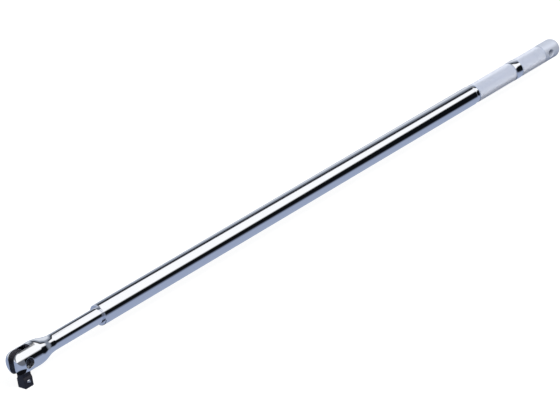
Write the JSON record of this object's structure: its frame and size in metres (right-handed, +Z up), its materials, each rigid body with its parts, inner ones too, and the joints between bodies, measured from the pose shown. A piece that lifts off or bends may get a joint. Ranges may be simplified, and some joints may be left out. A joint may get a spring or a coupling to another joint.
{
  "type": "breaker bar",
  "caption": "Long breaker bar: forked head with a swinging half-inch square drive, slim neck, tube handle, knurled grip with a smooth band and a hanging hole.",
  "frame": {"origin": "centre of the drive square's end face, which is the face that goes into a socket; the pivot is 31.75 mm above it", "axes": "+X along the handle from the head to the grip, +Z up from the end of the square to the pivot with the tang at a right angle to the handle, Y along the pivot pin"},
  "size_m": [1, 0.0294, 0.0465],
  "materials": {
    "polished_chrome": "mirror polished chrome plate",
    "knurled_chrome": "diamond knurl under satin chrome plate",
    "satin_chrome": "satin chrome plate",
    "black_oxide_tang": "black oxide on hardened steel, worn on its edges",
    "black_oxide": "black oxide",
    "bearing_steel": "ground and polished",
    "spring_steel": "drawn wire",
    "raw_steel": "turned"
  },
  "bodies": {
    "handle": {"fork_head": "polished_chrome", "pivot_pin": "black_oxide", "pin_snap_ring_near": "black_oxide", "pin_snap_ring_far": "black_oxide", "friction_spring": "spring_steel", "handle_tube": "polished_chrome", "front_lock_pin_1": "polished_chrome", "front_lock_pin_2": "polished_chrome", "grip_core": "raw_steel", "rear_lock_pin_1": "polished_chrome", "rear_lock_pin_2": "polished_chrome", "grip_collar": "polished_chrome", "front_grip_sleeve": "knurled_chrome", "grip_band": "polished_chrome", "rear_grip_sleeve": "knurled_chrome", "end_cap": "satin_chrome"},
    "drive_tang": {"drive_tang": "black_oxide_tang", "socket_ball_spring": "spring_steel"},
    "socket_ball": {"socket_ball": "bearing_steel"},
    "friction_plunger": {"friction_plunger": "bearing_steel"}
  },
  "joints": [
    {"name": "tang_swivel", "type": "hinge", "parent": "handle", "child": "drive_tang", "pos_m": [0, 0, 0.03175], "axis": [0, 1, 0], "range_deg": [-20, 200]},
    {"name": "socket_ball_press", "type": "slide", "parent": "drive_tang", "child": "socket_ball", "axis": [0, 1, 0], "range_m": [0, 0.0012], "stiffness_N_per_m": 6000, "springref_m": -0.001, "deforming": ["socket_ball_spring"]},
    {"name": "friction_plunger_travel", "type": "slide", "parent": "handle", "child": "friction_plunger", "axis": [1, 0, 0], "range_m": [0, 0.0009], "stiffness_N_per_m": 8000, "springref_m": -0.004, "deforming": ["friction_spring"]}
  ]
}
